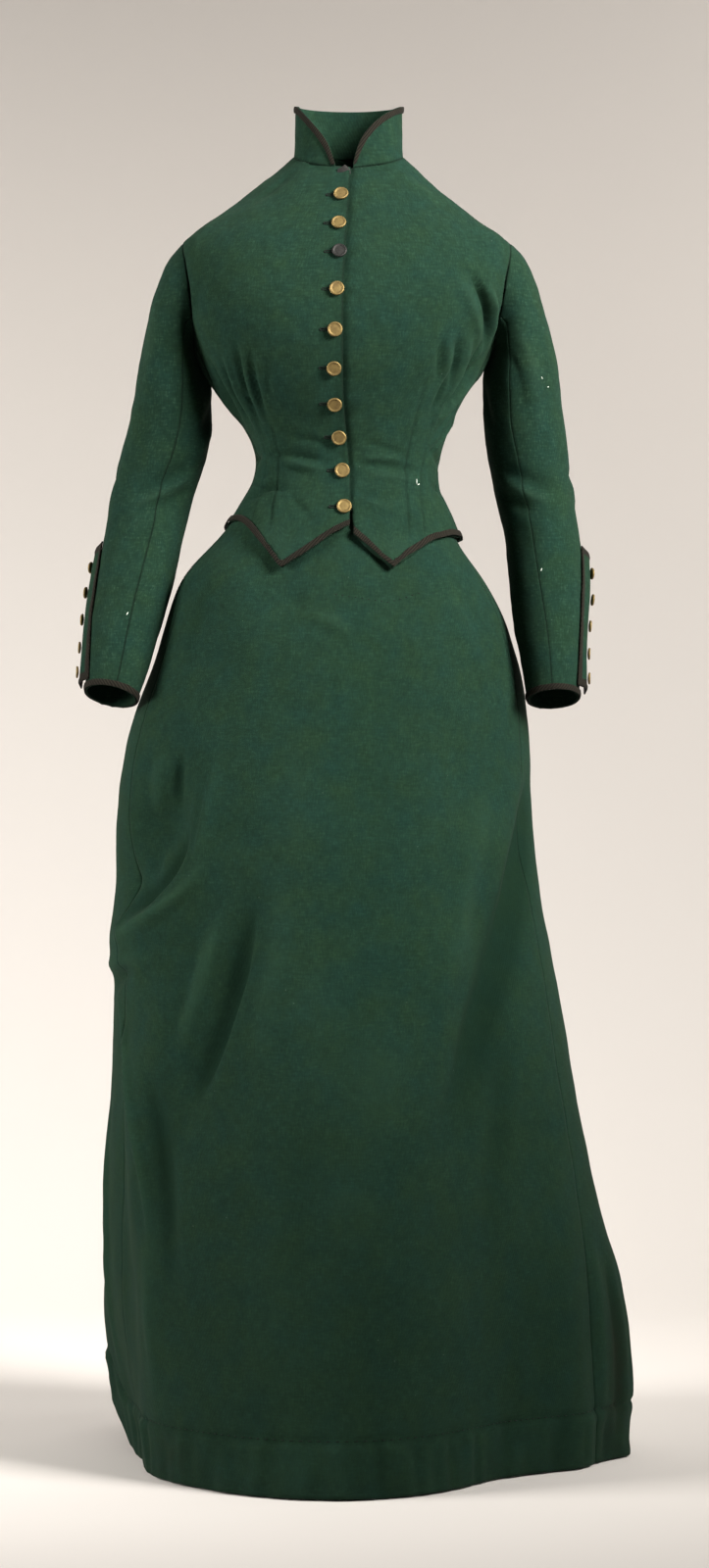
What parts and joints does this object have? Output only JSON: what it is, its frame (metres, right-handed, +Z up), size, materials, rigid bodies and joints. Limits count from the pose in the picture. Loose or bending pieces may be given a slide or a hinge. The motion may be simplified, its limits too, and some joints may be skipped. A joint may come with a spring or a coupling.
{
  "type": "riding habit",
  "caption": "Fitted buttoned riding bodice with standing collar, pointed basque and long coat sleeves, worn over a long draped side-saddle skirt.",
  "frame": {"origin": "middle of the wearer's waist, inside the habit, level with its narrowest place", "axes": "+Z up, -Y to the front of the wearer, +X to the wearer's left"},
  "size_m": [0.6068, 0.7152, 1.4744],
  "materials": {
    "green_wool": "matt fulled wool twill, bottle green",
    "braid": "matt woven braid, faded black-brown",
    "gilt_brass": "worn satin gilt",
    "dark_metal": "dull blackened"
  },
  "bodies": {
    "root": {"basque_braid_back": "braid", "basque_braid_left_front": "braid", "basque_braid_right_front": "braid", "bodice_left_back": "green_wool", "bodice_left_front": "green_wool", "bodice_left_side_back": "green_wool", "bodice_left_side_body": "green_wool", "bodice_right_back": "green_wool", "bodice_right_front": "green_wool", "bodice_right_side_back": "green_wool", "bodice_right_side_body": "green_wool", "collar": "green_wool", "collar_braid": "braid", "front_button_1": "gilt_brass", "front_button_10": "gilt_brass", "front_button_2": "gilt_brass", "front_button_3": "gilt_brass", "front_button_4": "gilt_brass", "front_button_5": "gilt_brass", "front_button_6": "gilt_brass", "front_button_7": "gilt_brass", "front_button_8": "dark_metal", "front_button_9": "gilt_brass", "left_cuff_braid": "braid", "left_cuff_button_1": "gilt_brass", "left_cuff_button_2": "gilt_brass", "left_cuff_button_3": "gilt_brass", "left_cuff_button_4": "gilt_brass", "left_cuff_button_5": "gilt_brass", "left_cuff_flap": "braid", "left_sleeve_under": "green_wool", "left_sleeve_upper": "green_wool", "right_cuff_braid": "braid", "right_cuff_button_1": "gilt_brass", "right_cuff_button_2": "gilt_brass", "right_cuff_button_3": "gilt_brass", "right_cuff_button_4": "gilt_brass", "right_cuff_button_5": "gilt_brass", "right_cuff_flap": "braid", "right_sleeve_under": "green_wool", "right_sleeve_upper": "green_wool", "skirt_back": "green_wool", "skirt_front": "green_wool", "skirt_left_side": "green_wool", "skirt_right_side": "green_wool", "skirt_waistband": "green_wool"}
  },
  "joints": []
}
